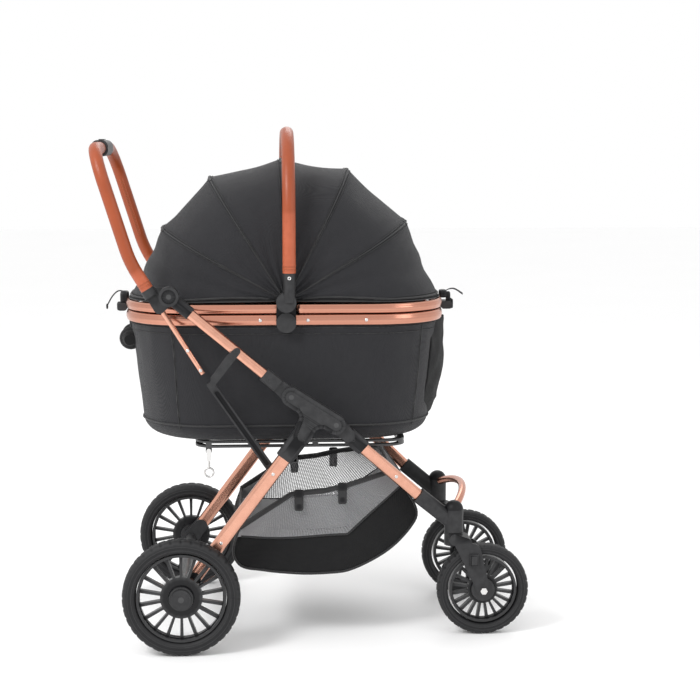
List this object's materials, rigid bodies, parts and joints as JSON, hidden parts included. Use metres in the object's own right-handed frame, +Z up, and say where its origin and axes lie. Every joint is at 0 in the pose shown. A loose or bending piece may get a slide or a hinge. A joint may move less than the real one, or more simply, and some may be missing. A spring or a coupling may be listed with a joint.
{
  "type": "pet stroller",
  "caption": "Folding pet stroller: wheeled side frames, push handle, lift-off fabric carrier with fan canopy and carry handle, and a mesh basket below.",
  "frame": {"origin": "on the floor, below the middle of the whole stroller's box", "axes": "+X to the front, where the caster wheels are; +Y to the stroller's left; +Z up"},
  "size_m": [0.891, 0.568, 1.044],
  "materials": {
    "copper_tube": "satin rose-gold anodised",
    "black_plastic": "fine moulded grain",
    "button_plastic": "smooth matte",
    "steel": "plated",
    "black_steel": "semi-gloss black",
    "wheel_plastic": "satin black",
    "tyre": "matt black foam rubber",
    "fabric_black": "woven polyester",
    "mesh_fabric": "open mesh with solid black hem",
    "leather": "smooth tan"
  },
  "bodies": {
    "chassis": {"hub_left": "black_plastic", "hub_right": "black_plastic", "rear_leg_left": "copper_tube", "rear_leg_right": "copper_tube", "axle_feet": "black_plastic", "frame_pins": "black_steel", "rear_axle": "black_steel", "axle_tube": "black_steel", "axle_caps": "black_plastic", "hub_crossbar": "black_steel", "base_frame": "black_steel", "storage_basket": "mesh_fabric"},
    "upper_frame": {"upper_collars": "black_plastic", "upper_tube_left": "copper_tube", "upper_tube_right": "copper_tube", "knuckle_left": "black_plastic", "knuckle_right": "black_plastic", "fold_hooks": "black_plastic", "knuckle_pins": "black_steel"},
    "stays": {"stay_rods": "black_plastic"},
    "handle": {"push_handle": "leather", "handle_grip": "black_plastic", "handle_collar_left": "black_plastic", "handle_collar_right": "black_plastic", "lever_tubes": "copper_tube"},
    "handle_button": {"fold_button": "button_plastic"},
    "front_frame": {"front_collars": "black_plastic", "front_leg_left": "copper_tube", "front_leg_right": "copper_tube", "caster_housing_left": "black_plastic", "caster_housing_right": "black_plastic", "front_crossbar": "copper_tube"},
    "carrier": {"carrier_body": "fabric_black", "carrier_floor": "black_plastic", "carrier_mat": "fabric_black", "lower_rim": "copper_tube", "upper_rim_rear": "copper_tube", "canopy_rear": "fabric_black", "side_hinges": "black_plastic", "hinge_pins": "black_steel", "rim_knobs": "black_plastic"},
    "canopy": {"upper_rim_front": "copper_tube", "canopy_front": "fabric_black"},
    "carry": {"carry_sleeves": "black_plastic", "carry_handle": "leather"},
    "hook": {"leash_hook": "steel"},
    "caster_left": {"caster_fork_left": "black_plastic", "axle_bolt_left": "steel"},
    "release_left": {"wheel_release_left": "button_plastic"},
    "front_wheel_left": {"front_rim_left": "wheel_plastic", "front_tyre_left": "tyre"},
    "rear_wheel_left": {"rear_rim_left": "wheel_plastic", "rear_tyre_left": "tyre"},
    "caster_right": {"caster_fork_right": "black_plastic", "axle_bolt_right": "steel"},
    "release_right": {"wheel_release_right": "button_plastic"},
    "front_wheel_right": {"front_rim_right": "wheel_plastic", "front_tyre_right": "tyre"},
    "rear_wheel_right": {"rear_rim_right": "wheel_plastic", "rear_tyre_right": "tyre"}
  },
  "joints": [
    {"name": "frame_fold", "type": "hinge", "parent": "chassis", "child": "upper_frame", "pos_m": [-0.0456, 0, 0.513], "axis": [0, -1, 0], "range_deg": [0, 80], "deforming": ["storage_basket"]},
    {"name": "front_leg_fold", "type": "hinge", "parent": "chassis", "child": "front_frame", "pos_m": [0.043, 0, 0.456], "axis": [0, -1, 0], "range_deg": [-48, 0]},
    {"name": "stay_fold", "type": "hinge", "parent": "chassis", "child": "stays", "pos_m": [-0.082, 0, 0.357], "axis": [0, -1, 0], "range_deg": [0, 80]},
    {"name": "handle_fold", "type": "hinge", "parent": "upper_frame", "child": "handle", "pos_m": [-0.284, 0, 0.713], "axis": [0, -1, 0], "range_deg": [-64, 0]},
    {"name": "fold_button_press", "type": "slide", "parent": "handle", "child": "handle_button", "axis": [0, 0, -1], "range_m": [0, 0.002], "stiffness_N_per_m": 400},
    {"name": "carrier_lift", "type": "slide", "parent": "chassis", "child": "carrier", "axis": [0, 0, 1], "range_m": [0, 0.06]},
    {"name": "canopy_open", "type": "hinge", "parent": "carrier", "child": "canopy", "pos_m": [-0.054, 0, 0.698], "axis": [0, -1, 0], "range_deg": [0, 70], "deforming": ["canopy_front"]},
    {"name": "carry_handle_swing", "type": "hinge", "parent": "carrier", "child": "carry", "pos_m": [-0.054, 0, 0.698], "axis": [0, -1, 0], "range_deg": [0, 55]},
    {"name": "leash_hook_swing", "type": "hinge", "parent": "chassis", "child": "hook", "pos_m": [-0.212, -0.142, 0.389], "axis": [0, -1, 0], "range_deg": [-25, 25]},
    {"name": "caster_swivel_left", "type": "hinge", "parent": "front_frame", "child": "caster_left", "pos_m": [0.29, 0.15, 0.225], "axis": [0, 0, 1], "continuous": true},
    {"name": "front_wheel_spin_left", "type": "hinge", "parent": "caster_left", "child": "front_wheel_left", "pos_m": [0.3505, 0.15, 0.095], "axis": [0, 1, 0], "continuous": true},
    {"name": "rear_wheel_spin_left", "type": "hinge", "parent": "chassis", "child": "rear_wheel_left", "pos_m": [-0.266, 0.26, 0.1175], "axis": [0, 1, 0], "continuous": true},
    {"name": "wheel_release_press_left", "type": "slide", "parent": "caster_left", "child": "release_left", "axis": [0, -1, 0], "range_m": [0, 0.002], "stiffness_N_per_m": 300},
    {"name": "caster_swivel_right", "type": "hinge", "parent": "front_frame", "child": "caster_right", "pos_m": [0.29, -0.15, 0.225], "axis": [0, 0, 1], "continuous": true},
    {"name": "front_wheel_spin_right", "type": "hinge", "parent": "caster_right", "child": "front_wheel_right", "pos_m": [0.3505, -0.15, 0.095], "axis": [0, 1, 0], "continuous": true},
    {"name": "rear_wheel_spin_right", "type": "hinge", "parent": "chassis", "child": "rear_wheel_right", "pos_m": [-0.266, -0.26, 0.1175], "axis": [0, 1, 0], "continuous": true},
    {"name": "wheel_release_press_right", "type": "slide", "parent": "caster_right", "child": "release_right", "axis": [0, 1, 0], "range_m": [0, 0.002], "stiffness_N_per_m": 300}
  ],
  "couplings": [
    {"joint": "front_leg_fold", "follows": "frame_fold", "ratio": -0.6},
    {"joint": "stay_fold", "follows": "frame_fold", "ratio": 1},
    {"joint": "handle_fold", "follows": "frame_fold", "ratio": -0.8}
  ]
}
